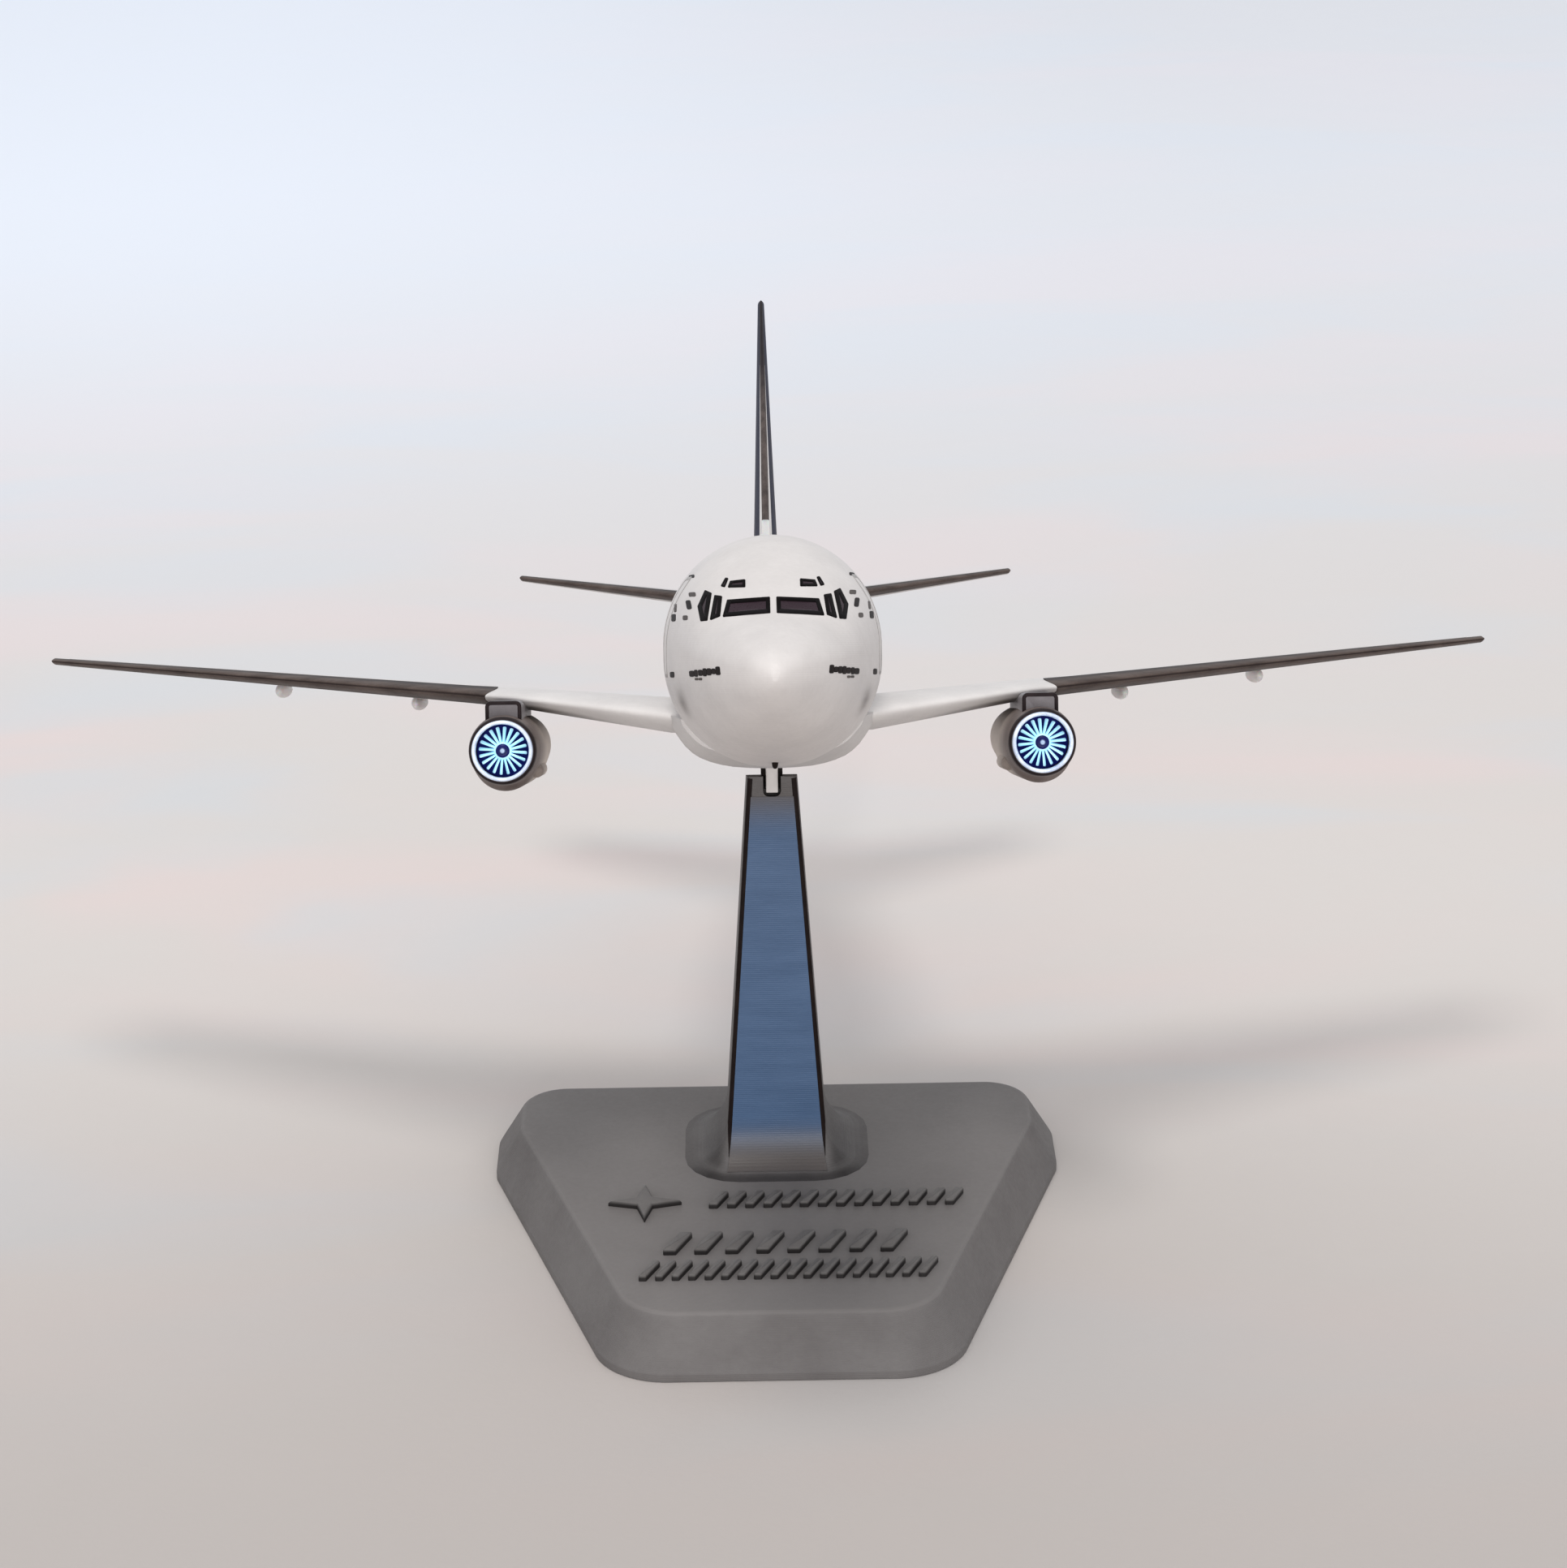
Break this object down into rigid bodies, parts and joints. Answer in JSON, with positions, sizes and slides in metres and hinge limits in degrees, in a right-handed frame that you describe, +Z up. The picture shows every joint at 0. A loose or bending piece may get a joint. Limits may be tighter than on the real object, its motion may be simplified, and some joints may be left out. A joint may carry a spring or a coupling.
{
  "type": "desktop airliner model",
  "caption": "Display model of a short-haul twin-engine airliner, held nose-up on a tapered arm that stands on a low six-sided base; the aircraft lifts off and the fans spin.",
  "frame": {"origin": "centre of the stand's flat underside, on the table", "axes": "+Z up, aircraft's nose towards -Y, aircraft's own left wing towards +X"},
  "size_m": [0.1968, 0.2162, 0.1165],
  "materials": {
    "stand_grey": "satin, fine layer lines",
    "arm_blue": "satin, fading to grey at both ends",
    "relief_grey": "satin",
    "body_white": "satin, fine layer lines",
    "tail_grey": "satin",
    "dark_glazing": "gloss",
    "edge_bronze": "metallic satin",
    "nacelle_taupe": "satin",
    "inlet_white": "gloss",
    "fan_pale_blue": "gloss",
    "fan_navy": "gloss",
    "pin_steel": "polished head",
    "livery_navy": "satin"
  },
  "bodies": {
    "stand": {"stand_base": "stand_grey", "stand_arm": "stand_grey", "arm_face_strip": "arm_blue", "base_emblem": "relief_grey", "base_relief_bars": "relief_grey"},
    "airliner": {"fuselage_nose": "body_white", "fuselage_mid": "body_white", "fuselage_tail": "body_white", "tail_cone": "tail_grey", "front_joint_sleeve": "body_white", "rear_joint_sleeve": "body_white", "windscreen_panes": "dark_glazing", "eyebrow_windows": "dark_glazing", "left_window_strip": "dark_glazing", "right_window_strip": "dark_glazing", "belly_fairing": "body_white", "belly_antenna": "dark_glazing", "wing_spar": "tail_grey", "left_wing": "body_white", "right_wing": "body_white", "left_slat": "edge_bronze", "right_slat": "edge_bronze", "left_flap_fairings": "body_white", "right_flap_fairings": "body_white", "left_pylon": "nacelle_taupe", "right_pylon": "nacelle_taupe", "left_nacelle": "nacelle_taupe", "right_nacelle": "nacelle_taupe", "left_inlet_ring": "inlet_white", "right_inlet_ring": "inlet_white", "left_fan_backplate": "fan_navy", "right_fan_backplate": "fan_navy", "left_fan_pin": "pin_steel", "right_fan_pin": "pin_steel", "left_exhaust": "nacelle_taupe", "right_exhaust": "nacelle_taupe", "left_stabiliser": "tail_grey", "right_stabiliser": "tail_grey", "left_stabiliser_edge": "edge_bronze", "right_stabiliser_edge": "edge_bronze", "stabiliser_rod": "tail_grey", "fin": "livery_navy", "fin_leading_edge": "edge_bronze", "dorsal_fin": "body_white"},
    "left_fan_rotor": {"left_fan": "fan_pale_blue", "left_spinner": "fan_navy"},
    "right_fan_rotor": {"right_fan": "fan_pale_blue", "right_spinner": "fan_navy"}
  },
  "joints": [
    {"name": "plane_lift", "type": "slide", "parent": "stand", "child": "airliner", "axis": [0, 0.3486, 0.9373], "range_m": [0, 0.025]},
    {"name": "left_fan_spin", "type": "hinge", "parent": "airliner", "child": "left_fan_rotor", "pos_m": [0.034, -0.01543, 0.0792], "axis": [0, 0.9373, -0.3486], "continuous": true},
    {"name": "right_fan_spin", "type": "hinge", "parent": "airliner", "child": "right_fan_rotor", "pos_m": [-0.034, -0.01543, 0.0792], "axis": [0, 0.9373, -0.3486], "continuous": true}
  ]
}
